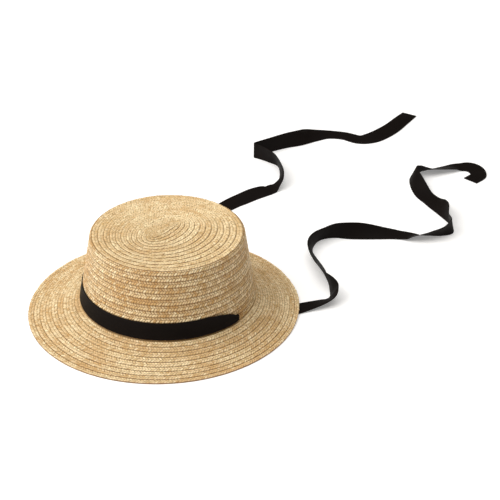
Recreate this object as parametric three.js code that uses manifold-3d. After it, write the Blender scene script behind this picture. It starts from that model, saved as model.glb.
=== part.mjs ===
import * as THREE from 'three';
import { mergeVertices } from 'three/addons/utils/BufferGeometryUtils.js';
import Module from 'manifold-3d';

// A straw boater with a ribbon round its front whose ends pass through slits at the sides as two long ties.
// Millimetres. Z is up and 0 is the surface that the hat rests on. -Y is the wearer's front
// and +X the wearer's left. The origin is below the middle of the brim.

// Straw
const strawWall = 2;
const ovalFacets = 56;
const ribDepth = 0.6;
const pieceGap = 0.3;

// Brim, as half sizes of its oval edge
const brimHalfWidth = 141.3;
const brimHalfLength = 144.8;
const brimRise = 17.6;
const brimCurve = 1.7;
const brimRows = 9;
const undersideRings = 5;
const rimFlat = 3;
const rimLiftHeight = 3;

// Crown, as half sizes of its ovals where it meets the brim and at the top
const crownHalfWidth = 91.8;
const crownHalfLength = 93.2;
const crownX = 3.2;
const crownY = 3.5;
const crownHeight = 76.9;
const sideRows = 12;
const topHalfWidth = 79.9;
const topHalfLength = 81.1;
const topShiftX = 2.5;
const topShiftY = -2.3;
const topRows = 13;
const topCornerRadius = 2.5;
const eyeShiftX = -4.3;
const eyeShiftY = 1.9;
const eyeHalfLength = 16;

// Ribbon
const ribbonWidth = 19;
const ribbonThickness = 1;
const gatheredWidth = 5.6;
const gatheredThickness = 2;
const bandAboveBrim = 0.8;
const bandFacets = 64;

// Slits that the ribbon passes through
const slitHeight = 6.4;
const slitWidth = 3;
const slitAboveBrim = 4.2;
const tuckRadius = 0.8;
const slitBackShift = 3.3;

// Where the rim rises over a tie: the turn from +X and the reach to each side in degrees,
// and the rise as a share of rimLiftHeight
const rimRises = [
  { turn: 37, reach: 22, rise: 0.8 },
  { turn: 126, reach: 40, rise: 1 },
];

// How the band narrows towards a slit: the turn from the slit in degrees,
// and the shares of its full width and of the slit's height above the band's lower edge
const bandGather = [
  { turn: 0, width: 0, raised: 1 },
  { turn: 4, width: 0.2, raised: 0.4 },
  { turn: 8, width: 0.45, raised: 0 },
  { turn: 13, width: 0.72, raised: 0 },
  { turn: 18, width: 0.9, raised: 0 },
  { turn: 23, width: 1, raised: 0 },
];

// Routes of the ties on the surface, chosen by hand:
// the middle of the ribbon at x and y, the height that it is lifted by, and its roll in degrees,
// where 0 is flat, 90 stands on its right edge, -90 on its left edge and -180 is flat, turned over
const leftRoute = [
  [87.5, 8, 17, 90], [87, 16, 11, 75], [92, 42, 0, 12], [115, 85, 0, -2],
  [128, 105, 0, -17], [133, 114, 0, -32], [132.5, 121, 0, -54], [128, 128, 0, -68],
  [115, 137, 0, -98], [108, 142, 0, -112], [88, 159, 0, -131], [69, 173, 0, -126],
  [57, 184, 0, -108], [51, 198, 0, -88], [51, 214, 0, -74], [58, 228, 0, -86],
  [71, 239, 0, -110], [94, 263, 0, -158], [110, 276, 0, -178], [124, 281, 0, -188],
  [134, 284, 0, -209], [144, 292, 0, -224], [153, 302, 0, -242], [156, 317, 0, -276],
  [146, 328, 0, -284], [136, 338, 0, -260], [119, 351, 0, -224], [99, 363, 0, -190],
  [80, 372, 0, -196], [54, 392, 0, -244], [51, 406, 0, -236], [60, 421, 0, -210],
  [71, 440, 0, -195], [77, 451, 0, -184], [87, 459, 0, -175], [99, 458, 0, -175],
  [108, 449, 0, -180], [107, 433, 0, -180],
];
const rightRoute = [
  [-80.5, 8, 17, 90], [-79, 16, 11, 75], [-78, 27, 4, 40], [-79, 42, 0, 12],
  [-81, 65, 0, 0], [-83.5, 98, 0, 0], [-84, 138, 0, 0], [-84, 178, 0, 0],
  [-80, 216, 0, 8], [-76, 233, 0, 12], [-72, 250, 0, 14], [-67, 267, 0, 8],
  [-65, 277, 0, -8], [-64, 286, 0, -42], [-70, 299, 0, -78], [-92, 321, 0, -104],
  [-108, 325, 0, -98], [-122, 326, 0, -91], [-130, 326, 0, -90], [-128, 335, 0, -90],
  [-123, 348, 0, -92], [-115, 368, 0, -100], [-106, 387, 0, -116], [-102, 407, 0, -150],
  [-94, 425, 0, -175], [-76, 436, 0, -180], [-57, 438, 0, -177], [-47, 445, 0, -170],
  [-41, 458, 0, -165], [-39, 483, 0, -166], [-42, 510, 0, -172], [-45, 533, 0, -180],
];
const stepsBetweenPoints = 2;
const tieGatherStart = 10;
const tieGatherEnd = 60;

const { degToRad, lerp, clamp, smoothstep } = THREE.MathUtils;
const topHeight = brimRise + crownHeight;
const slitCentreHeight = brimRise + slitAboveBrim;

const crownStraw = 0xd8bd8c;
const brimStraw = 0xd0ae7e;
const darkRibbon = 0x211a18;

function cloth(color) {
  return new THREE.MeshStandardMaterial({ color, roughness: 0.75, metalness: 0 });
}

// One level of the crown's outer surface, as an oval with its middle
function crownOval(z) {
  const share = clamp((z - brimRise) / crownHeight, 0, 1);
  return {
    x: crownX + topShiftX * share,
    y: crownY + topShiftY * share,
    width: lerp(crownHalfWidth, topHalfWidth, share),
    length: lerp(crownHalfLength, topHalfLength, share),
    z,
  };
}

// The same level moved in or out along its radius
function offsetOval(oval, distance) {
  return { ...oval, width: oval.width + distance, length: oval.length + distance };
}

function ovalPoint(oval, turn, target = new THREE.Vector3()) {
  const rise = oval.rise ? oval.rise(turn) : 0;
  return target.set(
    oval.x + oval.width * Math.cos(turn),
    oval.y + oval.length * Math.sin(turn),
    oval.z + rise,
  );
}

// Leaves only the positions, with shared corners joined and the empty triangles at an axis dropped
function closedBody(geometry) {
  geometry.deleteAttribute('normal');
  geometry.deleteAttribute('uv');
  const body = mergeVertices(geometry, 1e-4);
  const corners = body.index.array;
  const kept = [];
  for (let i = 0; i < corners.length; i += 3) {
    const [a, b, c] = corners.slice(i, i + 3);
    if (a !== b && b !== c && c !== a) kept.push(a, b, c);
  }
  body.setIndex(kept);
  body.computeVertexNormals();
  return body;
}

// A lathe whose rings are ovals, each with its own middle
function ovalLathe(ovals) {
  const profile = ovals.map((oval) => new THREE.Vector2(oval.width, oval.z));
  const lathe = new THREE.LatheGeometry(profile, ovalFacets);
  const position = lathe.attributes.position;
  const point = new THREE.Vector3();
  for (let i = 0; i < position.count; i += 1) {
    const oval = ovals[i % ovals.length];
    const column = Math.floor(i / ovals.length) % ovalFacets;
    ovalPoint(oval, (column / ovalFacets) * 2 * Math.PI, point);
    position.setXYZ(i, point.x, point.y, point.z);
  }
  return closedBody(lathe);
}

// Side wall from the brim up, one crest and one groove for each row of braid
function sideOvals() {
  const ovals = [];
  const sideHeight = crownHeight - topCornerRadius - pieceGap;
  for (let half = 0; half <= 2 * sideRows; half += 1) {
    const z = brimRise + pieceGap + (sideHeight * half) / (2 * sideRows);
    const crest = half % 2 === 1;
    ovals.push(offsetOval(crownOval(z), crest ? 0 : -ribDepth));
  }
  return ovals;
}

// Rounded corner between the side wall and the top
function cornerOvals(radius, inset) {
  const start = crownOval(topHeight - topCornerRadius);
  const ovals = [];
  for (const angle of [30, 60]) {
    const inward = radius * (1 - Math.cos(degToRad(angle)));
    const up = radius * Math.sin(degToRad(angle));
    ovals.push({ ...offsetOval(start, -inset - inward), z: topHeight - inset - radius + up });
  }
  return ovals;
}

// Top from its edge to its middle, one crest and one groove for each row of braid
function topOvals() {
  const edge = crownOval(topHeight);
  const ovals = [];
  for (let half = 0; half < 2 * topRows - 1; half += 1) {
    const inwards = half / (2 * topRows);
    const crest = half % 2 === 1;
    ovals.push({
      x: edge.x + eyeShiftX * inwards,
      y: edge.y + eyeShiftY * inwards,
      width: (edge.width - topCornerRadius) * (1 - inwards),
      length: lerp(edge.length - topCornerRadius, eyeHalfLength, inwards),
      z: topHeight - (crest ? 0 : ribDepth),
    });
  }
  const eye = { ...ovals[ovals.length - 1], z: topHeight };
  ovals[ovals.length - 1] = eye;
  ovals.push({ ...eye, width: 0, length: 0 });
  return ovals;
}

// Inside of the crown, from the middle of its ceiling down to its open mouth
function insideOvals() {
  const innerRadius = topCornerRadius - strawWall;
  const lining = (z) => offsetOval(crownOval(z), -strawWall);
  const top = offsetOval(crownOval(topHeight), -topCornerRadius);
  const ceiling = topHeight - strawWall;
  return [
    { ...top, z: ceiling, width: 0, length: 0 },
    { ...top, z: ceiling },
    ...cornerOvals(innerRadius, strawWall).reverse(),
    lining(topHeight - topCornerRadius),
    lining(brimRise + crownHeight / 2),
    lining(brimRise + pieceGap),
  ];
}

function solidOf(wasm, geometry) {
  const mesh = new wasm.Mesh({
    numProp: 3,
    vertProperties: new Float32Array(geometry.attributes.position.array),
    triVerts: new Uint32Array(geometry.index.array),
  });
  return new wasm.Manifold(mesh);
}

function geometryOf(solid) {
  const mesh = solid.getMesh();
  const geometry = new THREE.BufferGeometry();
  geometry.setAttribute('position', new THREE.BufferAttribute(new Float32Array(mesh.vertProperties), 3));
  geometry.setIndex(new THREE.BufferAttribute(new Uint32Array(mesh.triVerts), 1));
  geometry.computeVertexNormals();
  return geometry;
}

// Where the ribbon passes the wall on one side: 1 is the wearer's left (+X) and -1 the right
function slitPlace(side) {
  const oval = crownOval(slitCentreHeight);
  return {
    side,
    wallX: oval.x + side * oval.width,
    y: oval.y + slitBackShift,
    z: slitCentreHeight,
  };
}

function slitCutter(side) {
  const slit = slitPlace(side);
  const cutter = new THREE.BoxGeometry(4 * strawWall, slitWidth, slitHeight);
  cutter.translate(slit.wallX - (side * strawWall) / 2, slit.y, slit.z);
  return closedBody(cutter);
}

async function makeCrown() {
  const wasm = await Module();
  wasm.setup();
  const outside = [...sideOvals(), ...cornerOvals(topCornerRadius, 0), ...topOvals()];
  const shell = ovalLathe([...insideOvals(), ...outside]);
  let solid = solidOf(wasm, shell);
  for (const side of [1, -1]) {
    solid = solid.subtract(solidOf(wasm, slitCutter(side)));
  }
  return geometryOf(solid);
}

function rimRise(turn) {
  const degrees = (turn * 180) / Math.PI;
  let rise = 0;
  for (const place of rimRises) {
    const away = Math.abs(degrees - place.turn);
    if (away < place.reach) {
      rise += (rimLiftHeight * place.rise * (1 + Math.cos((Math.PI * away) / place.reach))) / 2;
    }
  }
  return rise;
}

// One ring of the brim: outwards is 0 where it meets the crown and 1 at the rim
function brimOval(outwards, z) {
  return {
    x: crownX * (1 - outwards),
    y: crownY * (1 - outwards),
    width: lerp(crownHalfWidth, brimHalfWidth, outwards),
    length: lerp(crownHalfLength, brimHalfLength, outwards),
    z,
    rise: (turn) => rimRise(turn) * Math.max(outwards, 0) ** 2,
  };
}

function makeBrim() {
  const spread = brimHalfWidth - crownHalfWidth;
  const innerEdge = -strawWall / spread;
  const flatStart = 1 - rimFlat / spread;
  // Steep at the crown and flat at the rim
  const topZ = (outwards) => lerp(strawWall, brimRise, (1 - outwards) ** brimCurve);
  const ovals = [brimOval(innerEdge, brimRise), brimOval(0, brimRise)];
  for (let half = 1; half < 2 * brimRows; half += 1) {
    const outwards = half / (2 * brimRows);
    const groove = half % 2 === 0;
    ovals.push(brimOval(outwards, topZ(outwards) - (groove ? ribDepth : 0)));
  }
  ovals.push(brimOval(1, strawWall), brimOval(1, 0), brimOval(flatStart, 0));
  for (let ring = undersideRings - 1; ring > 0; ring -= 1) {
    const outwards = ring / undersideRings;
    ovals.push(brimOval(outwards, topZ(outwards) - strawWall));
  }
  ovals.push(brimOval(0, brimRise - strawWall), brimOval(innerEdge, brimRise - strawWall));
  return ovalLathe([...ovals, ovals[0]].reverse());
}

// Splits the quads of a box's last but one face (+Z) along the other diagonal,
// so that its two broad faces are split alike and stay parallel where the box is twisted
function splitAlike(box) {
  const face = box.groups[4];
  for (let i = face.start; i < face.start + face.count; i += 6) {
    const [a, b, d, , c] = box.index.array.slice(i, i + 6);
    box.index.array.set([a, b, c, a, c, d], i);
  }
  return box;
}

// A strap bent through sections: low and high are the two edges of its inner face
// and out is its thickness
function bendStrap(sections) {
  const strap = splitAlike(new THREE.BoxGeometry(1, 1, 1, sections.length - 1, 1, 1));
  const position = strap.attributes.position;
  const point = new THREE.Vector3();
  for (let i = 0; i < position.count; i += 1) {
    const section = sections[Math.round((position.getX(i) + 0.5) * (sections.length - 1))];
    point.lerpVectors(section.low, section.high, position.getY(i) + 0.5);
    point.addScaledVector(section.out, position.getZ(i) + 0.5);
    position.setXYZ(i, point.x, point.y, point.z);
  }
  return closedBody(strap);
}

// The band's width and height at a turn in degrees from the nearer slit
function gatherAt(turnFromSlit) {
  const last = bandGather.length - 1;
  let next = bandGather.findIndex((row) => row.turn >= turnFromSlit);
  if (next === -1) next = last;
  const from = bandGather[Math.max(next - 1, 0)];
  const to = bandGather[next];
  const span = to.turn - from.turn;
  const share = span > 0 ? clamp((turnFromSlit - from.turn) / span, 0, 1) : 1;
  return {
    width: lerp(from.width, to.width, share),
    raised: lerp(from.raised, to.raised, share),
  };
}

// A section of the band against the wall; turn is in degrees and fromSlit is counted from the nearer slit
function bandSection(turn, fromSlit) {
  const gather = gatherAt(fromSlit);
  const width = lerp(gatheredWidth, ribbonWidth, gather.width);
  const thickness = lerp(gatheredThickness, ribbonThickness, gather.width);
  const lowest = brimRise + bandAboveBrim;
  const low = lerp(lowest, slitCentreHeight - gatheredWidth / 2, gather.raised);
  const lowOval = offsetOval(crownOval(low), pieceGap);
  const highOval = offsetOval(crownOval(lerp(low, low + width, gather.width)), pieceGap);
  const angle = degToRad(turn);
  const highPoint = ovalPoint(highOval, angle);
  highPoint.z = low + width;
  const out = new THREE.Vector3(Math.cos(angle), Math.sin(angle), 0).multiplyScalar(thickness);
  return { low: ovalPoint(lowOval, angle), high: highPoint, out };
}

// Sections that turn the gathered ribbon inwards through its slit, from the wall to the middle of the wall
function tuckSections(side) {
  const slit = slitPlace(side);
  const oval = crownOval(slitCentreHeight - gatheredWidth / 2);
  const faceX = oval.x + side * (oval.width + pieceGap);
  const pivotX = faceX - side * tuckRadius;
  const pivotY = slit.y - tuckRadius - gatheredThickness / 2;
  const lowZ = slit.z - gatheredWidth / 2;
  const sections = [];
  for (const degrees of [0, 30, 60, 90]) {
    const angle = degToRad(degrees);
    const out = new THREE.Vector3(side * Math.cos(angle), Math.sin(angle), 0);
    const low = new THREE.Vector3(pivotX, pivotY, lowZ).addScaledVector(out, tuckRadius);
    sections.push({ low, high: low.clone().setZ(lowZ + gatheredWidth), out });
  }
  const end = sections[sections.length - 1];
  const endX = slit.wallX - side * ((strawWall - pieceGap) / 2);
  sections.push({
    low: end.low.clone().setX(endX),
    high: end.high.clone().setX(endX),
    out: end.out.clone(),
  });
  for (const section of sections) {
    section.out.multiplyScalar(gatheredThickness);
  }
  return sections;
}

function makeBand() {
  const slitInset = (tuckRadius + gatheredThickness / 2 - slitBackShift) / degToRad(crownHalfLength);
  const sections = tuckSections(-1).reverse();
  for (let i = 1; i < bandFacets; i += 1) {
    const turn = lerp(-180 + slitInset, -slitInset, i / bandFacets);
    const fromSlit = Math.min(turn + 180 - slitInset, -turn - slitInset);
    sections.push(bandSection(turn, fromSlit));
  }
  sections.push(...tuckSections(1));
  return bendStrap(sections);
}

function smoothCurve(points) {
  return new THREE.CatmullRomCurve3(points, false, 'catmullrom');
}

// A ribbon that starts in its slit, gathered, and spreads out along its route
function makeTie(side, route) {
  const slit = slitPlace(side);
  const startX = slit.wallX - side * ((strawWall + pieceGap) / 2);
  const slitLift = slit.z - gatheredWidth / 2;
  const points = [
    [startX, slit.y, slitLift, 90],
    [startX - side * 1.5 * strawWall, slit.y, slitLift, 90],
    ...route,
  ];
  const path = smoothCurve(points.map(([x, y, lift]) => new THREE.Vector3(x, y, lift)));
  const rolls = smoothCurve(points.map((point) => new THREE.Vector3(point[3], 0, 0)));
  const steps = stepsBetweenPoints * (points.length - 1);
  const up = new THREE.Vector3(0, 0, 1);
  const sections = [];
  let travelled = 0;
  for (let i = 0; i <= steps; i += 1) {
    const share = i / steps;
    const centre = path.getPoint(share);
    if (i > 0) travelled += centre.distanceTo(path.getPoint((i - 1) / steps));
    const roll = degToRad(rolls.getPoint(share).x);
    const spread = smoothstep(travelled, tieGatherStart, tieGatherEnd);
    const width = lerp(gatheredWidth, ribbonWidth, spread);
    const thickness = lerp(gatheredThickness, ribbonThickness, spread);
    const along = path.getTangent(share).setZ(0).normalize();
    const left = new THREE.Vector3().crossVectors(up, along);
    const across = left.multiplyScalar(Math.cos(roll)).addScaledVector(up, Math.sin(roll));
    const out = new THREE.Vector3().crossVectors(along, across);
    centre.z = Math.max(centre.z, 0) + (width * Math.abs(across.z) + thickness * Math.abs(out.z)) / 2;
    centre.addScaledVector(out, -thickness / 2);
    sections.push({
      low: centre.clone().addScaledVector(across, -width / 2),
      high: centre.clone().addScaledVector(across, width / 2),
      out: out.multiplyScalar(thickness),
    });
  }
  return bendStrap(sections);
}

function named(name, geometry, material) {
  const mesh = new THREE.Mesh(geometry, material);
  mesh.name = name;
  return mesh;
}

const group = new THREE.Group();
group.add(
  named('crown', await makeCrown(), cloth(crownStraw)),
  named('brim', makeBrim(), cloth(brimStraw)),
  named('hat_band', makeBand(), cloth(darkRibbon)),
  named('left_tie', makeTie(1, leftRoute), cloth(darkRibbon)),
  named('right_tie', makeTie(-1, rightRoute), cloth(darkRibbon)),
);

export default group;
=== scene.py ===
import math

import bpy
import numpy as np
from bpy.props import FloatProperty, FloatVectorProperty, IntProperty, PointerProperty
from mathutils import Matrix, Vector


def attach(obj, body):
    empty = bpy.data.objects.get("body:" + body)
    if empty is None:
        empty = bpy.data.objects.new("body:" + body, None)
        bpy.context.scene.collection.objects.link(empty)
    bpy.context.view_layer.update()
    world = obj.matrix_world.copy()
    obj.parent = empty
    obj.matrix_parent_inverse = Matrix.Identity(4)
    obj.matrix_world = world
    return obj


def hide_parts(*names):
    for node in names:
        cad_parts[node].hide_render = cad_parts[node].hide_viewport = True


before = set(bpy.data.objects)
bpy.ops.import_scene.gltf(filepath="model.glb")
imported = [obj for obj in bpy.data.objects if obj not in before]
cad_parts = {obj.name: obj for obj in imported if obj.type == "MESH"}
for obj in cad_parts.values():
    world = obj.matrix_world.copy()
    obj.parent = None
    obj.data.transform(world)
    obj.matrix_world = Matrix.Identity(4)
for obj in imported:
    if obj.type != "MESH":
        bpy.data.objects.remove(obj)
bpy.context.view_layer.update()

# A braided straw boater with a dark ribbon and two long ties, laid on a pale floor.
# Metres in the frame of the solid model: Z up, the floor at 0, the wearer's front at -Y and the
# wearer's left at +X.

bl_info = {
    "name": "Straw Boater",
    "version": (1, 0, 0),
    "blender": (4, 5, 0),
    "location": "View3D > Sidebar > Boater",
    "description": "Builds a braided straw boater with its ribbon and ties on a pale floor",
    "category": "Object",
}

MM = 0.001

# ---- Shapes shared by the straw and the ribbon --------------------------------------------

EYE_CROWDING = 1.2                  # power that the top's rows crowd towards the eye by

# How a row looks: the share of its width in the painted shade of the row over it, how deep that
# painted shade is, and how uneven its plait looks, which also sets how deep the painted shade at
# its straws' edges and ends is
TOP_LOOK = (0.12, 0.8, 0.4)
WALL_LOOK = (0.36, 0.95, 1.0)
BRIM_LOOK = (0.14, 0.7, 0.65)

# Where the rim rises over a tie: degrees round from the wearer's left, half the reach in
# degrees, and the share of the full rise
RIM_RISES = ((37, 22, 0.8), (126, 40, 1.0))


def smooth(low, high, value):
    share = np.clip((value - low) / (high - low), 0, 1)
    return share * share * (3 - 2 * share)


class Crown:
    """The crown's outer surface. A row number runs from 0 at the eye to the brim."""

    def __init__(self, sizes):
        self.z0 = sizes.brim_rise
        self.height = sizes.crown_height
        self.foot = np.array([sizes.crown_x, sizes.crown_y, sizes.foot_width, sizes.foot_length])
        self.top = np.array([
            sizes.crown_x + sizes.top_shift_x, sizes.crown_y + sizes.top_shift_y,
            sizes.top_width, sizes.top_length,
        ])
        self.radius = sizes.corner_radius
        self.eye_shift = (sizes.eye_shift_x, sizes.eye_shift_y)
        self.eye_length = sizes.eye_length
        self.top_rows = sizes.top_rows
        self.side_rows = sizes.side_rows
        self.rows = sizes.top_rows + sizes.side_rows
        self.looks = [TOP_LOOK] * sizes.top_rows + [WALL_LOOK] * sizes.side_rows

    def oval(self, z):
        share = np.clip((np.asarray(z, float) - self.z0) / self.height, 0, 1)[..., None]
        return self.foot + (self.top - self.foot) * share

    def section(self, row, height):
        """Centre x and y, half width, half length and z of the oval at a row number,
        a height over the surface."""
        row = np.asarray(row, float)
        height = np.broadcast_to(height, row.shape)
        z_top = self.z0 + self.height
        edge = self.oval(z_top)
        spread = np.clip(row / self.top_rows, 0, 1) ** EYE_CROWDING
        top = np.stack([
            edge[0] + self.eye_shift[0] * (1 - spread),
            edge[1] + self.eye_shift[1] * (1 - spread),
            spread * (edge[2] - self.radius),
            self.eye_length + spread * (edge[3] - self.radius - self.eye_length),
        ], -1)
        arc = self.radius * math.pi / 2
        down = (self.height - self.radius + arc) * (row - self.top_rows) / self.side_rows
        lean = np.clip(down / arc, 0, 1) * math.pi / 2
        z = np.where(down < arc, z_top - self.radius * (1 - np.cos(lean)),
                     z_top - self.radius - (down - arc))
        wall = self.oval(z)
        wall[..., 2:] -= (self.radius * (1 - np.sin(lean)))[..., None]
        on_top = row < self.top_rows
        oval = np.where(on_top[..., None], top, wall)
        z = np.where(on_top, z_top, z) + np.cos(lean) * height
        grown = np.maximum(oval[..., 2:] + (np.sin(lean) * height)[..., None], 0.05 * MM)
        return np.concatenate([oval[..., :2], grown, z[..., None]], -1)

    def lift(self, angle, row):
        """The crown rises nowhere."""
        return np.zeros(np.broadcast(angle, row).shape)


class Brim:
    """The brim's upper surface, steep at the crown and flat at the rim.
    A row number runs from 0 at the crown to the rim."""

    def __init__(self, sizes):
        self.foot = np.array([sizes.crown_x, sizes.crown_y, sizes.foot_width, sizes.foot_length])
        self.rim = np.array([0.0, 0.0, sizes.rim_width, sizes.rim_length])
        self.fall = sizes.brim_rise - sizes.straw_wall
        self.wall = sizes.straw_wall
        self.curve = sizes.brim_curve
        self.rows = sizes.brim_rows
        self.rim_lift = sizes.rim_lift
        self.looks = [BRIM_LOOK] * sizes.brim_rows

    def section(self, row, height):
        row = np.asarray(row, float)
        height = np.broadcast_to(height, row.shape)
        share = row / self.rows
        oval = self.foot + (self.rim - self.foot) * share[..., None]
        left = np.clip(1 - share, 0, None)
        steepness = self.fall * self.curve * left ** (self.curve - 1)
        slope = np.arctan(steepness / (self.rim[2] - self.foot[2]))
        grown = oval[..., 2:] + (np.sin(slope) * height)[..., None]
        z = self.wall + self.fall * left ** self.curve + np.cos(slope) * height
        return np.concatenate([oval[..., :2], grown, z[..., None]], -1)

    def lift(self, angle, row):
        """How far the brim rises over a tie that passes under its rim."""
        degrees = (np.degrees(angle) + 180) % 360 - 180
        rise = 0
        for turn, reach, part in RIM_RISES:
            away = np.clip(np.abs(degrees - turn) / reach, 0, 1)
            rise = rise + part * self.rim_lift * (1 + np.cos(math.pi * away)) / 2
        return rise * np.clip(row / self.rows, 0, 1) ** 2


def on_surface(surface, row, angle, height):
    x, y, width, length, z = np.moveaxis(surface.section(row, height), -1, 0)
    z = z + surface.lift(angle, row)
    return np.stack([x + width * np.cos(angle), y + length * np.sin(angle), z], -1)


# ---- Modelling ----------------------------------------------------------------------------

# Degrees under which the edges of a piece look smooth
RIBBON_SMOOTHING, STRAW_SMOOTHING = 50, 60


def deselect_all():
    if bpy.context.object and bpy.context.object.mode != "OBJECT":
        bpy.ops.object.mode_set(mode="OBJECT")
    bpy.ops.object.select_all(action="DESELECT")


def active(obj):
    deselect_all()
    obj.select_set(True)
    bpy.context.view_layer.objects.active = obj


def named(name):
    obj = bpy.context.object
    obj.name = obj.data.name = name
    return obj


def positions(mesh):
    found = np.empty(len(mesh.vertices) * 3)
    mesh.vertices.foreach_get("co", found)
    return found.reshape(-1, 3)


def set_positions(mesh, found):
    mesh.vertices.foreach_set("co", np.asarray(found, float).ravel())
    mesh.update()


def corner_vertices(mesh):
    index = np.empty(len(mesh.loops), int)
    mesh.loops.foreach_get("vertex_index", index)
    return index


def choose(obj, chosen):
    """Selects vertices of a mesh and goes into edit mode."""
    active(obj)
    obj.data.vertices.foreach_set("select", chosen)
    obj.data.edges.foreach_set("select", np.zeros(len(obj.data.edges), bool))
    obj.data.polygons.foreach_set("select", np.zeros(len(obj.data.polygons), bool))
    bpy.ops.object.mode_set(mode="EDIT")
    bpy.ops.mesh.select_mode(type="VERT")


def set_uv(mesh, uv):
    layer = mesh.uv_layers.active or mesh.uv_layers.new(name="UVMap")
    layer.data.foreach_set("uv", np.asarray(uv, float).ravel())


def set_values(mesh, **values):
    for name, value in values.items():
        attribute = mesh.attributes.new(name, "FLOAT", "POINT")
        attribute.data.foreach_set("value", np.asarray(value, float))


def apply(obj, name, kind, **settings):
    active(obj)
    modifier = obj.modifiers.new(name, kind)
    for key, value in settings.items():
        setattr(modifier, key, value)
    bpy.ops.object.modifier_apply(modifier=modifier.name)


def join(first, *others):
    active(first)
    for other in others:
        other.select_set(True)
    bpy.ops.object.join()
    return bpy.context.object


def finish_piece(obj, node, angle):
    active(obj)
    bpy.ops.object.shade_smooth_by_angle(angle=math.radians(angle), keep_sharp_edges=False)
    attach(obj, "root")
    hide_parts(node)


# ---- Straw --------------------------------------------------------------------------------

# How a row of braid is stepped: the share of its width, and how far it lies under the
# outer surface there, as a share of the step
ROW_STEPS = ((0.0, 1.35), (0.14, 1.2), (0.80, 0.75), (0.97, 0.85))
FIRST_BRIM_STEP = (-0.35, 0.7)      # the same for the brim's start, under the crown's foot
INNER_RIB = 0.3 * MM
BRIM_WALL_PART = 0.98               # keeps the brim's underside just over the floor
SLIT_CUT = 12 * MM                  # how deep a slit's cutter is
# Room left free of straws round a slit: rows over and under it, and its width times this to
# either side
SLIT_SPARE_ROWS, SLIT_SPARE_WIDTH = 0.15, 0.8
# Slanted strokes of the backing's plait round the hat
CROWN_STROKES, BRIM_STROKES = 190.0, 250.0

# A straw, 2 by 2: how high its middle, sides, ends and corners bulge, and how its ends narrow
STRAW_RISES = {"middle": 0.92, "side": 0.34, "end": 0.40, "corner": 0.10}
STRAW_END_WIDTH = 0.8
# Two lines of straws lie in a row: the first one's middle and the step to the next, and a
# straw's half length, all as shares of the row's width
FIRST_LINE, LINE_STEP, STRAW_REACH = 0.27, 0.5, 0.265
# What the straws lie on: the share of a row's width, and the height there in row steps
STRAW_GROUND = ((-0.05, -1.25), (0.10, -0.75), (0.90, 0.0), (1.05, -0.30))
STRAW_HALF_WIDTH = 0.50             # as a share of the spacing
HIGHEST_STANCE = 0.2                # of a straw over its place, in bulges
GIRTH_STEPS = 65
FEWEST_STRAWS = 10                  # in a line

# How unevenly straws lie: their place and slant along the row in spacings, their place across
# it as a share of its width, and their height, sideways tilt and lengthwise tilt in bulges
PLACE_SPREAD, SLANT_SPREAD, ACROSS_SPREAD = 0.06, 0.07, 0.02
HEIGHT_SPREAD, SIDE_TILT_SPREAD, END_TILT_SPREAD = 0.10, 0.14, 0.10
# The straws' lightness: its middle, and how much rows, stretches of a row and single straws
# differ, the last more where the plait is rough
LIGHT, ROW_LIGHT, SLOW_LIGHT, STRAW_LIGHT, ROUGH_LIGHT = 0.54, 0.05, 0.08, 0.08, 0.18
# Their warmth: its middle, how much stretches and single straws differ, and what rough adds
WARMTH, SLOW_WARMTH, STRAW_WARMTH, ROUGH_WARMTH = 0.30, 0.18, 0.16, 0.10
# How far apart, in straws, the slow changes of lightness and warmth along a row are
LIGHT_REACH, WARMTH_REACH = 9, 12
CROWN_SEED, BRIM_SEED = 11, 23


def grown_shell(name, rings, columns):
    """Grows a shell from a first oval, ring by ring, each extruded, moved and resized."""
    deselect_all()
    x, y, width, length, z = rings[0]
    bpy.ops.mesh.primitive_circle_add(vertices=columns, radius=1, fill_type="NOTHING",
                                      location=(0, 0, 0))
    obj = named(name)
    bpy.ops.object.mode_set(mode="EDIT")
    bpy.ops.mesh.select_all(action="SELECT")
    bpy.ops.transform.resize(value=(width, length, 1), center_override=(0, 0, 0))
    bpy.ops.transform.translate(value=(x, y, z))
    for before, after in zip(rings, rings[1:]):
        shift = (after - before)[[0, 1, 4]]
        bpy.ops.mesh.extrude_region_move(TRANSFORM_OT_translate={"value": tuple(shift)})
        bpy.ops.transform.resize(value=(after[2] / before[2], after[3] / before[3], 1),
                                 center_override=(after[0], after[1], after[4]))
    bpy.ops.object.mode_set(mode="OBJECT")
    return obj


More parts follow.
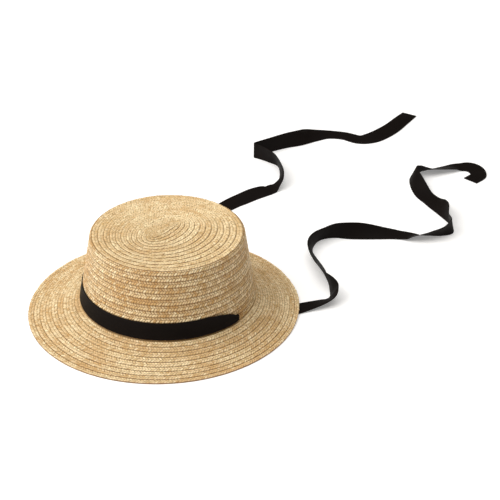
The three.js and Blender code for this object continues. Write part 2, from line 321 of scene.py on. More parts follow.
def straw_shell(name, surface, sizes, inner_depth, ring_shaped):
    """A closed shell of braid: each row outside steps down over the next, and ribs inside
    follow the rows."""
    columns = sizes.columns
    shares, steps = np.transpose(ROW_STEPS)
    rows = np.append(np.arange(surface.rows)[:, None] + shares, surface.rows)
    depth = np.append(np.tile(steps, surface.rows), steps[0])
    if ring_shaped:
        rows[0], depth[0] = FIRST_BRIM_STEP
    inner_rows = np.linspace(surface.rows, rows[0], 2 * surface.rows + 1)
    rib = INNER_RIB * (np.arange(len(inner_rows)) % 2)
    rows = np.concatenate([rows, inner_rows])
    height = np.concatenate([-depth * sizes.row_depth, rib - inner_depth])
    if ring_shaped:
        rows, height = np.append(rows, rows[0]), np.append(height, height[0])
    rings = surface.section(rows, height)
    obj = grown_shell(name, rings, columns)
    mesh = obj.data
    found = positions(mesh)
    ring = np.arange(len(found)) // columns
    angle = np.arctan2((found[:, 1] - rings[ring, 1]) / rings[ring, 3],
                       (found[:, 0] - rings[ring, 0]) / rings[ring, 2])
    found[:, 2] += surface.lift(angle, rows[ring])
    set_positions(mesh, found)
    index = corner_vertices(mesh)
    around = (angle / (2 * math.pi))[index].reshape(-1, 4)
    wraps = around.max(1) - around.min(1) > 0.5
    around += wraps[:, None] * (around < 0)
    set_uv(mesh, np.stack([around.ravel(), rows[ring][index]], -1))
    for first in () if ring_shaped else (0, len(found) - columns):
        place = np.arange(len(found))
        choose(obj, (place >= first) & (place < first + columns))
        bpy.ops.mesh.edge_face_add()
        bpy.ops.object.mode_set(mode="OBJECT")
    choose(obj, np.ones(len(found), bool))
    bpy.ops.mesh.remove_doubles(threshold=1e-6)
    bpy.ops.mesh.select_all(action="SELECT")
    bpy.ops.mesh.normals_make_consistent(inside=False)
    bpy.ops.object.mode_set(mode="OBJECT")
    return obj


def cut_slits(shell, sizes):
    """Cuts the two upright slits for the ribbon."""
    for side in (-1, 1):
        deselect_all()
        bpy.ops.mesh.primitive_cube_add(size=1, location=slit_place(sizes, side))
        cutter = named("slit")
        cutter.scale = (SLIT_CUT, sizes.slit_width, sizes.slit_height)
        bpy.ops.object.transform_apply(location=True, rotation=True, scale=True)
        apply(shell, "Slit", "BOOLEAN", operation="DIFFERENCE", object=cutter, solver="EXACT")
        bpy.data.objects.remove(cutter)


def single_straw():
    """One straw of the plait as it shows between its neighbours, 2 by 2 and bulging by about 1."""
    deselect_all()
    bpy.ops.mesh.primitive_grid_add(x_subdivisions=3, y_subdivisions=3, size=2)
    obj = named("straw")
    flat = positions(obj.data)[:, :2]
    side, end = np.abs(flat).T > 0.9
    parts = {"middle": ~side & ~end, "side": side & ~end, "end": ~side & end, "corner": side & end}
    for part, chosen in parts.items():
        choose(obj, chosen)
        bpy.ops.transform.translate(value=(0, 0, STRAW_RISES[part]))
        bpy.ops.object.mode_set(mode="OBJECT")
    choose(obj, end)
    bpy.ops.transform.resize(value=(STRAW_END_WIDTH, 1, 1), center_override=(0, 0, 0))
    bpy.ops.object.mode_set(mode="OBJECT")
    shape, faces = positions(obj.data), corner_vertices(obj.data).reshape(-1, 4)
    bpy.data.objects.remove(obj)
    return flat, shape, faces


def slow_change(random, count, reach):
    """Random values that change slowly round a row."""
    knots = random.normal(0, 1, max(count // reach, 4))
    place = np.arange(count) / count * len(knots)
    low = place.astype(int)
    share = smooth(0, 1, place - low)
    return knots[low] * (1 - share) + knots[(low + 1) % len(knots)] * share


def spread_about(random, size, count):
    """Random values about zero, one for each straw, as a column."""
    return random.normal(0, size, count)[:, None]


def straw_places(random, surface, sizes, shape, row, line, count):
    """Where the corners of one line's straws are, and how far round and across its row."""
    across, along, bulge = shape.T
    centre = np.arange(count)[:, None] + 0.5 * line + spread_about(random, PLACE_SPREAD, count)
    slant = (1 - 2 * line) * (sizes.straw_slant + spread_about(random, SLANT_SPREAD, count))
    turn = (centre + STRAW_HALF_WIDTH * across + slant * along) / count * 2 * math.pi
    share = FIRST_LINE + LINE_STEP * line + STRAW_REACH * along
    share = share + spread_about(random, ACROSS_SPREAD, count)
    ground = np.interp(share, *np.transpose(STRAW_GROUND)) * sizes.row_depth
    stance = spread_about(random, HEIGHT_SPREAD, count)
    stance = stance + spread_about(random, SIDE_TILT_SPREAD, count) * across
    stance = stance + spread_about(random, END_TILT_SPREAD, count) * along
    height = ground + sizes.straw_bulge * np.minimum(bulge - 1 + stance, HIGHEST_STANCE)
    return on_surface(surface, row + share, turn, height), centre[:, 0] / count * 2 * math.pi, share


def straw_tones(random, look, share, row_light, row_warmth):
    """The lightness, warmth and number of one line's straws, the painted shade from the row over
    them, and how uneven their row is, which also sets the painted shade at their edges.
    """
    reach, deep, rough = look
    count = len(share)
    light = row_light[:, None] + spread_about(random, STRAW_LIGHT + ROUGH_LIGHT * rough, count)
    warmth = row_warmth[:, None] + ROUGH_WARMTH * rough + spread_about(random, STRAW_WARMTH, count)
    # Painted shade where the row over this one would shade it
    shade = deep * (1 - smooth(0, reach, share))
    values = (light, warmth, random.random(count)[:, None], shade, rough)
    return np.stack([np.broadcast_to(value, share.shape) for value in values], -1)


def plaited_straws(name, surface, sizes, seed, is_open):
    """Copies the straw in two slanted lines along each row of braid, each copy with its tones."""
    flat, shape, faces = single_straw()
    random = np.random.default_rng(seed)
    points, tones = [], []
    for row in range(surface.rows):
        around = np.linspace(0, 2 * math.pi, GIRTH_STEPS)
        ring = on_surface(surface, np.full(GIRTH_STEPS, row + 0.5), around, 0)
        girth = np.linalg.norm(np.diff(ring, axis=0), axis=1).sum()
        count = max(int(round(girth / sizes.straw_pitch)), FEWEST_STRAWS)
        row_light = LIGHT + random.normal(0, ROW_LIGHT)
        row_light = row_light + SLOW_LIGHT * slow_change(random, count, LIGHT_REACH)
        row_warmth = WARMTH + SLOW_WARMTH * slow_change(random, count, WARMTH_REACH)
        for line in (0, 1):
            place, turn, share = straw_places(random, surface, sizes, shape, row, line, count)
            tone = straw_tones(random, surface.looks[row], share, row_light, row_warmth)
            kept = ~is_open(row + 0.25 + 0.5 * line, turn)
            points.append(place[kept])
            tones.append(tone[kept])
    place = np.concatenate(points)
    tone = np.clip(np.concatenate(tones).reshape(-1, 5), 0, 1)
    copies, size = place.shape[:2]
    corner = (faces[None] + (np.arange(copies) * size)[:, None, None]).reshape(-1, 4)
    mesh = bpy.data.meshes.new(name)
    mesh.vertices.add(copies * size)
    mesh.loops.add(corner.size)
    mesh.polygons.add(len(corner))
    mesh.loops.foreach_set("vertex_index", corner.ravel())
    mesh.polygons.foreach_set("loop_start", np.arange(len(corner)) * 4)
    mesh.polygons.foreach_set("loop_total", np.full(len(corner), 4))
    set_positions(mesh, place)
    mesh.update(calc_edges=True)
    obj = bpy.data.objects.new(name, mesh)
    bpy.context.collection.objects.link(obj)
    set_uv(mesh, np.tile(flat * 0.5 + 0.5, (copies, 1))[corner.ravel()])
    set_values(mesh, straw_light=tone[:, 0], straw_warmth=tone[:, 1], straw_number=tone[:, 2],
               row_shade=tone[:, 3], row_rough=tone[:, 4])
    return obj


# ---- Ribbon -------------------------------------------------------------------------------

# Routes of the ties in millimetres: the middle of the ribbon at x and y, the height that it is
# lifted by, and its roll in degrees, where 0 is flat and 90 stands on its right edge
LEFT_ROUTE = [
    (87.5, 8, 17, 90), (87, 16, 11, 75), (92, 42, 0, 12), (115, 85, 0, -2),
    (128, 105, 0, -17), (133, 114, 0, -32), (132.5, 121, 0, -54), (128, 128, 0, -68),
    (115, 137, 0, -98), (108, 142, 0, -112), (88, 159, 0, -131), (69, 173, 0, -126),
    (57, 184, 0, -108), (51, 198, 0, -88), (51, 214, 0, -74), (58, 228, 0, -86),
    (71, 239, 0, -110), (94, 263, 0, -158), (110, 276, 0, -178), (124, 281, 0, -188),
    (134, 284, 0, -209), (144, 292, 0, -224), (153, 302, 0, -242), (156, 317, 0, -276),
    (146, 328, 0, -284), (136, 338, 0, -260), (119, 351, 0, -224), (99, 363, 0, -190),
    (80, 372, 0, -196), (54, 392, 0, -244), (51, 406, 0, -236), (60, 421, 0, -210),
    (71, 440, 0, -195), (77, 451, 0, -184), (87, 459, 0, -175), (99, 458, 0, -175),
    (108, 449, 0, -180), (107, 433, 0, -180),
]
RIGHT_ROUTE = [
    (-80.5, 8, 17, 90), (-79, 16, 11, 75), (-78, 27, 4, 40), (-79, 42, 0, 12),
    (-81, 65, 0, 0), (-83.5, 98, 0, 0), (-84, 138, 0, 0), (-84, 178, 0, 0),
    (-80, 216, 0, 8), (-76, 233, 0, 12), (-72, 250, 0, 14), (-67, 267, 0, 8),
    (-65, 277, 0, -8), (-64, 286, 0, -42), (-70, 299, 0, -78), (-92, 321, 0, -104),
    (-108, 325, 0, -98), (-122, 326, 0, -91), (-130, 326, 0, -90), (-128, 335, 0, -90),
    (-123, 348, 0, -92), (-115, 368, 0, -100), (-106, 387, 0, -116), (-102, 407, 0, -150),
    (-94, 425, 0, -175), (-76, 436, 0, -180), (-57, 438, 0, -177), (-47, 445, 0, -170),
    (-41, 458, 0, -165), (-39, 483, 0, -166), (-42, 510, 0, -172), (-45, 533, 0, -180),
]

# Ties: piece, side (1 is the wearer's left), route, node and whole length
TIES = (
    ("left_tie_ribbon", 1, LEFT_ROUTE, "left_tie", 0.675),
    ("right_tie_ribbon", -1, RIGHT_ROUTE, "right_tie", 0.630),
)
TIE_START_DEPTH = 1.15 * MM         # from the wall's outside to a tie's start in the slit
TIE_INSIDE = 3                      # millimetres that a tie runs straight inwards from there
TIE_SPREADS = (0.010, 0.060)        # travel over which a tie opens to its full width
TIE_STEPS = 8                       # steps between two points of a route
TIE_CLEARANCE = 0.1 * MM            # between the floor and a tie

# How the band is drawn together towards a slit: degrees from it, and the share of the width
# that the ribbon gains; then degrees from it, and how far the lower edge is raised to the slit
BAND_SPREAD = ((0, 0), (1.5, 0.22), (4, 0.42), (8, 0.62), (13, 0.80), (18, 0.91), (23, 1))
BAND_RAISE = ((0, 1), (1.5, 0.5), (3, 0.2), (6, 0))
BAND_SECTIONS = 181                 # about one for each degree
BAND_INSET = 0.3 * MM               # from the crown's middle to the band's ends, along the wall
BAND_GAP = 0.1 * MM                 # between the wall and the band
GATHERED_GAP = 0.3 * MM             # what that grows by where the band is gathered
BAND_BEND = 0.8 * MM                # radius that the band turns inwards by
BEND_TURNS = range(0, 91, 15)       # degrees
BEND_BEFORE = 1.0 * MM              # from the middle of that turn back to the slit's middle
BEND_INSET = 0.05 * MM              # from the wall inwards to the middle of that turn
BAND_TUCK = 1.4 * MM                # how far the band runs inwards from there
BAND_PLEAT, TIE_PLEAT = 0.5 * MM, 0.8 * MM
RIBBON_STRIPS = 12                  # facets across the ribbon
RIBBON_PLEATS = 2.5
RIBBON_BEVEL = 0.3                  # of its edges, as a share of its thickness


def curve_through(points, per_span):
    """A smooth curve through points, per_span steps for each gap."""
    knots = np.asarray(points, float)
    knots = np.vstack([2 * knots[0] - knots[1], knots, 2 * knots[-1] - knots[-2]])
    t = np.arange(per_span)[:, None] / per_span
    found = []
    for a, b, c, d in zip(knots, knots[1:], knots[2:], knots[3:]):
        found.append(0.5 * (2 * b + (c - a) * t + (2 * a - 5 * b + 4 * c - d) * t ** 2
                            + (3 * b - a - 3 * c + d) * t ** 3))
    return np.vstack([*found, knots[-2]])


def travelled(middle):
    return np.concatenate([[0], np.cumsum(np.linalg.norm(np.diff(middle, axis=0), axis=1))])


def ribbon_strip(name, middle, across, out, width, spread, thickness, pleat):
    """A ribbon through sections: its middle line, the way across it and the way out of its face.
    Where it isn't spread, it is drawn together in pleats."""
    deselect_all()
    bpy.ops.mesh.primitive_grid_add(x_subdivisions=len(middle) - 1, y_subdivisions=RIBBON_STRIPS,
                                    size=2)
    obj = named(name)
    flat = positions(obj.data)
    order = np.lexsort((flat[:, 1].round(6), flat[:, 0].round(6)))
    share = np.linspace(-1, 1, RIBBON_STRIPS + 1)
    zigzag = np.abs((share * RIBBON_PLEATS + 0.5) % 2 - 1) * 2 - 1
    sideways = (share * width[:, None] / 2)[..., None]
    outwards = (zigzag * pleat * (1 - spread[:, None]))[..., None]
    place = np.empty_like(flat)
    place[order] = (middle[:, None] + across[:, None] * sideways
                    + out[:, None] * outwards).reshape(-1, 3)
    set_positions(obj.data, place)
    centimetres = travelled(middle)[:, None] * 100
    uv = np.empty((len(flat), 2))
    uv[order] = np.stack(np.broadcast_arrays(centimetres, share[None]), -1).reshape(-1, 2)
    set_uv(obj.data, uv[corner_vertices(obj.data)])
    apply(obj, "Cloth", "SOLIDIFY", thickness=thickness, offset=0, use_even_offset=False)
    apply(obj, "Edge", "BEVEL", width=thickness * RIBBON_BEVEL, segments=2, limit_method="ANGLE",
          angle_limit=math.radians(60))
    return obj


def slit_place(sizes, side):
    """Where the ribbon passes through the wall on one side: 1 is the wearer's left."""
    z = sizes.brim_rise + sizes.slit_above_brim
    oval = Crown(sizes).oval(z)
    return Vector((oval[0] + side * oval[2], oval[1] + sizes.slit_shift, z))


def tie_sections(sizes, side, route):
    """A tie's middle line, its ways across and out, its width and how far it is spread."""
    slit = slit_place(sizes, side)
    start_x, lift = slit.x - side * TIE_START_DEPTH, slit.z - sizes.gathered_width / 2
    start = [(start_x / MM - side * inwards, slit.y / MM, lift / MM, 90)
             for inwards in (0, TIE_INSIDE)]
    path = curve_through(start + route, TIE_STEPS)
    middle = path[:, :3] * MM
    spread = smooth(*TIE_SPREADS, travelled(middle))
    width = sizes.gathered_width + (sizes.ribbon_width - sizes.gathered_width) * spread
    along = np.gradient(middle, axis=0)
    along[:, 2] = 0
    along /= np.linalg.norm(along, axis=1)[:, None]
    roll = np.radians(path[:, 3])[:, None]
    up = np.array([0.0, 0.0, 1.0])
    across = np.cross(up, along) * np.cos(roll) + up * np.sin(roll)
    out = np.cross(along, across)
    rise = width * np.abs(across[:, 2]) + sizes.ribbon_thickness * np.abs(out[:, 2])
    middle[:, 2] = np.maximum(middle[:, 2], 0) + rise / 2 + TIE_CLEARANCE
    return middle, across, out, width, spread


# ---- Materials ----------------------------------------------------------------------------

class Value:
    """A socket that arithmetic can be written on."""

    def __init__(self, shader, socket):
        self.shader, self.socket = shader, socket

    def _math(self, operation, first, second):
        sockets = {0: first, 1: second}
        return self.shader.node("ShaderNodeMath", {"operation": operation}, sockets)[0]

    def __add__(self, other): return self._math("ADD", self, other)
    def __sub__(self, other): return self._math("SUBTRACT", self, other)
    def __rsub__(self, other): return self._math("SUBTRACT", other, self)
    def __mul__(self, other): return self._math("MULTIPLY", self, other)
    def __pow__(self, other): return self._math("POWER", self, other)
    def __mod__(self, other): return self._math("FLOORED_MODULO", self, other)
    def __gt__(self, other): return self._math("GREATER_THAN", self, other)
    def __abs__(self): return self._math("ABSOLUTE", self, 0.0)


class Shader:
    """A material's nodes. Its surface is one Principled shader."""

    def __init__(self, name, **constants):
        self.material = bpy.data.materials.new(name)
        self.material.use_nodes = True
        self.tree = self.material.node_tree
        self.surface = self.tree.nodes["Principled BSDF"]
        self.finish(**constants)

    def node(self, kind, settings=None, sockets=None):
        """Adds a node, sets it, feeds its sockets and gives its outputs as values."""
        made = self.tree.nodes.new(kind)
        for name, value in (settings or {}).items():
            setattr(made, name, value)
        for name, value in (sockets or {}).items():
            self.feed(made.inputs[name], value)
        return [Value(self, socket) for socket in made.outputs]

    def feed(self, target, value):
        if isinstance(value, Value):
            self.tree.links.new(value.socket, target)
        else:
            target.default_value = (*value, 1) if target.type == "RGBA" else value

    def place(self):
        return self.node("ShaderNodeTexCoord")[3]

    def uv(self):
        return self.node("ShaderNodeSeparateXYZ", {}, {0: self.node("ShaderNodeTexCoord")[2]})[:2]

    def attribute(self, name):
        return self.node("ShaderNodeAttribute", {"attribute_name": name})[2]

    def noise(self, vector, scale, detail=2.0, roughness=0.55):
        return self.node("ShaderNodeTexNoise", {}, {
            "Vector": vector, "Scale": scale, "Detail": detail, "Roughness": roughness})[0]

    def vector(self, x, y, z=0.0):
        return self.node("ShaderNodeCombineXYZ", {}, {0: x, 1: y, 2: z})[0]

    def ramp(self, value, low, high, start=0.0, end=1.0):
        return self.node("ShaderNodeMapRange", {}, {0: value, 1: low, 2: high, 3: start, 4: end})[0]

    def mix(self, factor, first, second):
        sockets = {0: factor, 6: first, 7: second}
        return self.node("ShaderNodeMix", {"data_type": "RGBA"}, sockets)[2]

    def bump(self, height, distance, strength):
        return self.node("ShaderNodeBump", {}, {
            "Height": height, "Distance": distance, "Strength": strength})[0]

    def finish(self, **sockets):
        """Sets or feeds the surface's own sockets."""
        for socket, value in sockets.items():
            self.feed(self.surface.inputs[socket.replace("_", " ")], value)
        return self.material


def straw_material(name, colours):
    """Split straws: each has its own tone and fibres along it, painted shade at its edges and ends
    and where the row over it shades it, and warmer patches run over them."""
    shader = Shader(name, Metallic=0.0, Specular_IOR_Level=0.35)
    place = shader.place()
    u, v = shader.uv()
    light, warmth = shader.attribute("straw_light"), shader.attribute("straw_warmth")
    number = shader.attribute("straw_number")
    # The painted shade of the row over each straw, and how uneven its row is, which also deepens
    # the painted shade at the straw's edges and ends
    tucked, rough = shader.attribute("row_shade"), shader.attribute("row_rough")
    # Long fibres, moved by each straw's number so that no two straws are alike
    grain = shader.vector(u * 7.0 + number * 90.0, v * 0.9 + number * 17.0)
    fibres = shader.noise(grain, 1.0, 3.0, 0.7)
    patches = shader.noise(place, 30.0, 3.0, 0.65)
    base = shader.mix(light + (fibres - 0.5) * 0.9, colours.straw_dark[:], colours.straw_light[:])
    warm = shader.ramp(warmth * 0.7 + patches * 1.1, 0.68, 1.08, 0.0, 0.9) * (rough * 0.75 + 0.2)
    base = shader.mix(warm, base, colours.straw_warm[:])
    # Painted shade: each straw darkens towards its sides and its ends, more where its row is uneven
    edge = shader.ramp(abs(u - 0.5) * 2.0, 0.55, 1.0, 0.0, 0.85)
    end = shader.ramp(abs(v - 0.5) * 2.0, 0.62, 1.0, 0.0, 0.75)
    # Painted shade: the straw's colour goes towards the shade colour at its edges and ends and
    # under the row over it
    base = shader.mix((edge + end) * rough + tucked, base, colours.painted_gap_shade[:])
    gloss = shader.ramp(fibres + number * 0.3, 0.3, 1.0, 0.34, 0.58)
    relief = shader.bump(fibres, 0.25 * MM, 0.7)
    return shader.finish(Base_Color=base, Roughness=gloss, Normal=relief)


def backing_material(name, colours, turns):
    """What lies between and behind the straws, with the plait's slanted strokes in low relief, deep
    straw on the strokes and painted shade in the grooves between them.
    """
    shader = Shader(name, Metallic=0.0, Roughness=0.62)
    u, row = shader.uv()
    side = row % 1.0
    line = (row * 2.0) % 1.0
    slanted = (u * turns + line * ((side > 0.5) * 2.0 - 1.0) * 0.8) % 1.0
    stroke = 1.0 - abs(slanted - 0.5) * 2.0
    height = (stroke ** 0.5) * ((1.0 - abs(line - 0.5) * 2.0) ** 0.35)
    noise = shader.noise(shader.place(), 300.0, 3.0)
    # Painted shade: the lower the plait lies, the nearer its colour comes to the shade colour
    tone = shader.ramp(height * 0.7 + noise * 0.6, 0.25, 1.1)
    base = shader.mix(tone, colours.painted_gap_shade[:], colours.straw_dark[:])
    return shader.finish(Base_Color=base, Normal=shader.bump(height, 0.5 * MM, 0.8))


def ribbon_material(name, colours):
    """Dark ribbon with fine ribs across it, worn threads and a painted highlight along its edges.
    """
    shader = Shader(name, Metallic=0.0, Specular_IOR_Level=0.05, Sheen_Weight=0.01,
                    Sheen_Roughness=0.35, Sheen_Tint=colours.ribbon_sheen[:])
    place = shader.place()
    along, across = shader.uv()
    rib = abs((along * 14.0) % 1.0 - 0.5) * 2.0
    threads, wear = shader.noise(place, 1500.0), shader.noise(place, 45.0, 3.0)
    base = shader.mix(wear * 0.7 + threads * 0.3, colours.ribbon_dark[:], colours.ribbon_wear_and_edge_highlight[:])
    # Painted highlight: the ribbon lightens towards its long edges
    painted_edge_highlight = shader.ramp(abs(across), 0.86, 0.92, 0.0, 0.5)
    base = shader.mix(painted_edge_highlight, base, colours.ribbon_wear_and_edge_highlight[:])
    rough = shader.ramp(threads, 0.2, 0.8, 0.50, 0.68)
    relief = shader.bump(rib * 0.7 + threads * 0.5, 0.08 * MM, 0.5)
    return shader.finish(Base_Color=base, Roughness=rough, Normal=relief)


def floor_material(colours):
    shader = Shader("pale_floor", Metallic=0.0, Base_Color=colours.floor[:],
                    Emission_Color=(1.0, 1.0, 1.0), Emission_Strength=FLOOR_GLOW)
    patches = shader.noise(shader.place(), 3.0)
    return shader.finish(Roughness=shader.ramp(patches, 0.3, 0.7, 0.85, 0.95))


# ---- Add-on -------------------------------------------------------------------------------

def length(default, name, description):
    return FloatProperty(name=name, description=description, default=default * MM,
                         unit="LENGTH", subtype="DISTANCE", precision=5)


def colour(default, name, description):
    return FloatVectorProperty(name=name, description=description, default=default,
                               size=3, subtype="COLOR", min=0, max=1)


def number(default, name, description):
    return IntProperty(name=name, description=description, default=default, min=3)


def factor(default, name, description, highest):
    return FloatProperty(name=name, description=description, default=default,
                         subtype="FACTOR", min=0, max=highest)


class BOATER_PG_sizes(bpy.types.PropertyGroup):
    rim_width: length(141.3, "Rim width", "Half width of the brim's edge")
    rim_length: length(144.8, "Rim length", "Half length of the brim's edge")
    brim_rise: length(17.6, "Brim rise", "Height of the brim where it meets the crown")
    brim_curve: factor(1.7, "Brim curve", "Power that the brim falls by: 1 is straight", 4)
    rim_lift: length(3.0, "Rim lift", "Rise of the brim's edge over a tie")
    straw_wall: length(2.0, "Straw wall", "Thickness of the sewn straw")
    foot_width: length(91.8, "Foot width", "Half width of the crown's foot")
    foot_length: length(93.2, "Foot length", "Half length of the crown's foot")
    crown_x: length(3.2, "Crown sideways", "Place of the crown's foot to the wearer's left")
    crown_y: length(3.5, "Crown backwards", "Place of the crown's foot to the wearer's back")
    crown_height: length(76.9, "Crown height", "Height of the crown above the brim")
    top_width: length(79.9, "Top width", "Half width of the crown's top")
    top_length: length(81.1, "Top length", "Half length of the crown's top")
    top_shift_x: length(2.5, "Lean sideways", "Lean of the crown to the wearer's left")
    top_shift_y: length(-2.3, "Lean backwards", "Lean of the crown to the wearer's back")
    corner_radius: length(2.5, "Corner radius", "Rounding between the wall and the top")
    eye_shift_x: length(-4.3, "Eye sideways", "Place of the eye from the middle of the top")
    eye_shift_y: length(1.9, "Eye backwards", "Place of the eye from the middle of the top")
    eye_length: length(16.0, "Eye length", "Half length of the first turn of braid")
    top_rows: number(13, "Rows on the top", "Rows of braid on the crown's top")
    side_rows: number(12, "Rows on the wall", "Rows of braid on the crown's wall")
    brim_rows: number(9, "Rows on the brim", "Rows of braid on the brim")
    columns: number(200, "Columns", "Facets round the hat")
    row_depth: length(1.0, "Row step", "Step from one row of braid down to the next")
    straw_pitch: length(2.9, "Straw spacing", "Spacing of the straws along a row")
    straw_bulge: length(0.7, "Straw bulge", "Height of a straw over its edges")
    straw_slant: factor(0.34, "Straw slant", "Slant of a straw, as a share of the spacing", 1)
    slit_height: length(6.4, "Slit height", "Height of the slits for the ribbon")
    slit_width: length(2.6, "Slit width", "Width of the slits for the ribbon")
    slit_above_brim: length(4.2, "Slit over brim", "Height of a slit's middle over the brim")
    slit_shift: length(3.3, "Slit backwards", "Place of the slits behind the crown's middle")
    ribbon_width: length(19.0, "Ribbon width", "Width of the ribbon")
    ribbon_thickness: length(0.7, "Ribbon thickness", "Thickness of the ribbon")
    gathered_width: length(5.6, "Gathered width",
                           "Width of the ribbon where it is gathered in a slit")
    band_above_brim: length(0.8, "Band over brim", "Height of the band's lower edge over the brim")


class BOATER_PG_colours(bpy.types.PropertyGroup):
    straw_light: colour((0.98, 0.825, 0.53), "Pale straw", "The lightest straws")
    straw_dark: colour((0.66, 0.445, 0.20), "Deep straw", "The darkest straws")
    straw_warm: colour((0.58, 0.32, 0.10), "Warm straw", "Orange-brown patches of straw")
    # The painted shade between the straws and in the backing's grooves
    painted_gap_shade: colour((0.21, 0.100, 0.030), "Straw shade", "The shade between straws")
    ribbon_dark: colour((0.0035, 0.0026, 0.0026), "Ribbon", "The ribbon")
    # The ribbon's worn threads, and the painted highlight along its edges
    ribbon_wear_and_edge_highlight: colour((0.010, 0.0072, 0.0060), "Ribbon in the light",
                         "The ribbon's worn threads and edge")
    ribbon_sheen: colour((0.42, 0.38, 0.36), "Ribbon sheen", "The ribbon's soft sheen")
    floor: colour((0.93, 0.93, 0.93), "Floor", "The floor")


def settings():
    scene = bpy.context.scene
    return scene.boater_sizes, scene.boater_colours


# The camera: its place, its turn in degrees, and its lens and sensor in millimetres
CAMERA_PLACE = (1.2043, -1.4207, 1.1695)
CAMERA_TURN = (59.43, 0, 37.5)
CAMERA_LENS, CAMERA_SENSOR = 149.76, 36
FLOOR_SIZE = 12
FLOOR_DROP = 0.2 * MM
FLOOR_GLOW = 0.25
WORLD_TINT = (1.0, 0.85, 0.64, 1)
WORLD_STRENGTH = 0.14
# Square lights that face the origin: name, place, width, power and tint
LIGHTS = (
    ("key", (-0.94, -1.49, 1.48), 2.4, 51, (1.0, 0.985, 0.96)),
    ("top", (0.0, 0.0, 2.2), 3.0, 45, (1.0, 1.0, 1.0)),
)


class BOATER_OT_stage(bpy.types.Operator):
    """Makes the camera, the pale floor and the soft lights"""
    bl_idname = "boater.stage"
    bl_label = "Stage"

    def execute(self, context):
        deselect_all()
        bpy.ops.object.camera_add(location=CAMERA_PLACE, rotation=np.radians(CAMERA_TURN))
        camera = context.object
        camera.data.sensor_width = CAMERA_SENSOR
        camera.data.lens = CAMERA_LENS
        context.scene.camera = camera
        context.scene.view_settings.view_transform = "Standard"
        bpy.ops.mesh.primitive_plane_add(size=FLOOR_SIZE, location=(0, 0, -FLOOR_DROP))
        floor = named("floor")
        bpy.ops.object.transform_apply(location=True, rotation=True, scale=True)
        floor.data.materials.append(floor_material(settings()[1]))
        for light in LIGHTS:
            self.light(*light)
        world = bpy.data.worlds.new("soft_white")
        world.use_nodes = True
        background = world.node_tree.nodes["Background"]
        background.inputs["Color"].default_value = WORLD_TINT
        background.inputs["Strength"].default_value = WORLD_STRENGTH
        context.scene.world = world
        return {"FINISHED"}

    def light(self, name, place, width, power, tint):
        bpy.ops.object.light_add(type="AREA", location=place)
        light = named(name)
        light.data.size = width
        light.data.energy = power
        light.data.color = tint
        light.rotation_euler = (-Vector(place)).to_track_quat("-Z", "Y").to_euler()


class BOATER_OT_ties(bpy.types.Operator):
    """Makes the two loose ties"""
    bl_idname = "boater.ties"
    bl_label = "Ties"

    def execute(self, context):
        sizes, colours = settings()
        material = ribbon_material("tie_ribbon", colours)
        for name, side, route, node, whole in TIES:
            sections = tie_sections(sizes, side, route)
            tie = ribbon_strip(name, *sections, sizes.ribbon_thickness, TIE_PLEAT)
            tie.data.materials.append(material)
            finish_piece(tie, node, RIBBON_SMOOTHING)
        return {"FINISHED"}


class BOATER_OT_band(bpy.types.Operator):
    """Makes the ribbon round the front of the crown"""
    bl_idname = "boater.band"
    bl_label = "Band"

    def execute(self, context):
        sizes, colours = settings()
        crown = Crown(sizes)
        inset = math.degrees(BAND_INSET / sizes.foot_length)
        turns = np.linspace(-180 + inset, -inset, BAND_SECTIONS)
        from_slit = np.minimum(turns + 180 - inset, -turns - inset)
        spread = np.interp(from_slit, *np.transpose(BAND_SPREAD))
        raised = np.interp(from_slit, *np.transpose(BAND_RAISE))
        width = sizes.gathered_width + (sizes.ribbon_width - sizes.gathered_width) * spread
        lowest = sizes.brim_rise + sizes.band_above_brim
        slit_z = sizes.brim_rise + sizes.slit_above_brim
        low = lowest + (slit_z - sizes.gathered_width / 2 - lowest) * raised
        angle = np.radians(turns)
        out = np.stack([np.cos(angle), np.sin(angle), np.zeros_like(angle)], -1)
        bottom, top = self.on_wall(crown, angle, low), self.on_wall(crown, angle, low + width)
        clear = BAND_GAP + sizes.ribbon_thickness / 2 + GATHERED_GAP * (1 - spread)
        middle = (bottom + top) / 2 + out * clear[:, None]
        across = (top - bottom) / np.linalg.norm(top - bottom, axis=1)[:, None]
        sections = self.tucked(sizes, [middle, across, out, width, spread])
        band = ribbon_strip("band_ribbon", *sections, sizes.ribbon_thickness, BAND_PLEAT)
        band.data.materials.append(ribbon_material("band_ribbon", colours))
        finish_piece(band, "hat_band", RIBBON_SMOOTHING)
        return {"FINISHED"}

    def on_wall(self, crown, angle, z):
        oval = crown.oval(z)
        x, y, width, length = oval.T
        return np.stack([x + width * np.cos(angle), y + length * np.sin(angle), z], -1)

    def tucked(self, sizes, sections):
        """The band's sections, with short turns inwards through the slits at both ends."""
        for side in (-1, 1):
            slit = slit_place(sizes, side)
            turn = np.radians(BEND_TURNS)
            x = slit.x + side * (BAND_BEND * np.cos(turn) - BEND_INSET)
            y = slit.y - BEND_BEFORE + BAND_BEND * np.sin(turn)
            centre = np.stack([x, y, np.full_like(turn, slit.z)], -1)
            centre = np.vstack([centre, centre[-1] - (side * BAND_TUCK, 0, 0)])
            facing = np.stack([side * np.cos(turn), np.sin(turn), 0 * turn], -1)
            facing = np.vstack([facing, facing[-1]])
            count = len(centre)
            upright = np.tile([0.0, 0.0, 1.0], (count, 1))
            end = [centre, upright, facing, np.full(count, sizes.gathered_width), np.zeros(count)]
            if side < 0:
                sections = [np.concatenate([new[::-1], old[2:]]) for new, old in zip(end, sections)]
            else:
                sections = [np.concatenate([old[:-2], new]) for new, old in zip(end, sections)]
        return sections


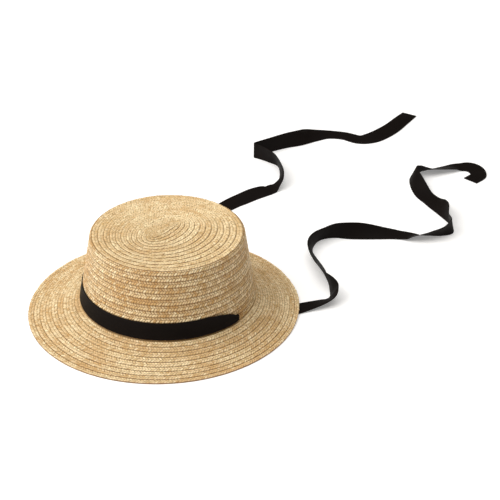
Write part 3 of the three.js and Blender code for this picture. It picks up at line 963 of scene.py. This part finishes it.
class BOATER_OT_crown(bpy.types.Operator):
    """Makes the braided crown"""
    bl_idname = "boater.crown"
    bl_label = "Crown"

    def execute(self, context):
        sizes, colours = settings()
        crown = Crown(sizes)
        shell = straw_shell("crown_braid", crown, sizes, sizes.straw_wall, False)
        cut_slits(shell, sizes)
        shell.data.materials.append(backing_material("crown_backing", colours, CROWN_STROKES))
        corner = (math.pi / 2 - 1) * sizes.corner_radius
        row_height = (sizes.crown_height + corner) / crown.side_rows
        slit_row = crown.rows - sizes.slit_above_brim / row_height
        half_rows = sizes.slit_height / row_height / 2 + SLIT_SPARE_ROWS
        half_turn = SLIT_SPARE_WIDTH * sizes.slit_width / sizes.foot_length

        def in_slit(row, angle):
            """Whether straws lie over a slit, and are left out."""
            back = sizes.slit_shift / sizes.foot_length * np.sign(np.cos(angle))
            off = (angle - back + math.pi / 2) % math.pi - math.pi / 2
            return (abs(row - slit_row) < half_rows) & (np.abs(off) < half_turn)

        straws = plaited_straws("crown_straws", crown, sizes, CROWN_SEED, in_slit)
        straws.data.materials.append(straw_material("crown_straw", colours))
        finish_piece(join(shell, straws), "crown", STRAW_SMOOTHING)
        return {"FINISHED"}


class BOATER_OT_brim(bpy.types.Operator):
    """Makes the braided brim"""
    bl_idname = "boater.brim"
    bl_label = "Brim"

    def execute(self, context):
        sizes, colours = settings()
        brim = Brim(sizes)
        shell = straw_shell("brim_braid", brim, sizes, sizes.straw_wall * BRIM_WALL_PART, True)
        shell.data.materials.append(backing_material("brim_backing", colours, BRIM_STROKES))
        straws = plaited_straws("brim_straws", brim, sizes, BRIM_SEED,
                                lambda row, angle: np.zeros(len(angle), bool))
        straws.data.materials.append(straw_material("brim_straw", colours))
        finish_piece(join(shell, straws), "brim", STRAW_SMOOTHING)
        return {"FINISHED"}


class BOATER_PT_panel(bpy.types.Panel):
    """The boater's steps, sizes and colours"""
    bl_label = "Straw Boater"
    bl_idname = "BOATER_PT_panel"
    bl_space_type = "VIEW_3D"
    bl_region_type = "UI"
    bl_category = "Boater"

    def draw(self, context):
        for step in STEPS:
            self.layout.operator(step.bl_idname)
        for group in settings():
            box = self.layout.box()
            for name in type(group).__annotations__:
                box.prop(group, name)


STEPS = (BOATER_OT_stage, BOATER_OT_ties, BOATER_OT_band, BOATER_OT_crown, BOATER_OT_brim)
CLASSES = (BOATER_PG_sizes, BOATER_PG_colours, *STEPS, BOATER_PT_panel)


def register():
    for item in CLASSES:
        bpy.utils.register_class(item)
    bpy.types.Scene.boater_sizes = PointerProperty(type=BOATER_PG_sizes)
    bpy.types.Scene.boater_colours = PointerProperty(type=BOATER_PG_colours)


def unregister():
    del bpy.types.Scene.boater_sizes
    del bpy.types.Scene.boater_colours
    for item in reversed(CLASSES):
        bpy.utils.unregister_class(item)


def main():
    register()
    bpy.ops.boater.stage()
    bpy.ops.boater.ties()
    bpy.ops.boater.band()
    bpy.ops.boater.crown()
    bpy.ops.boater.brim()


if __name__ == "__main__":
    main()
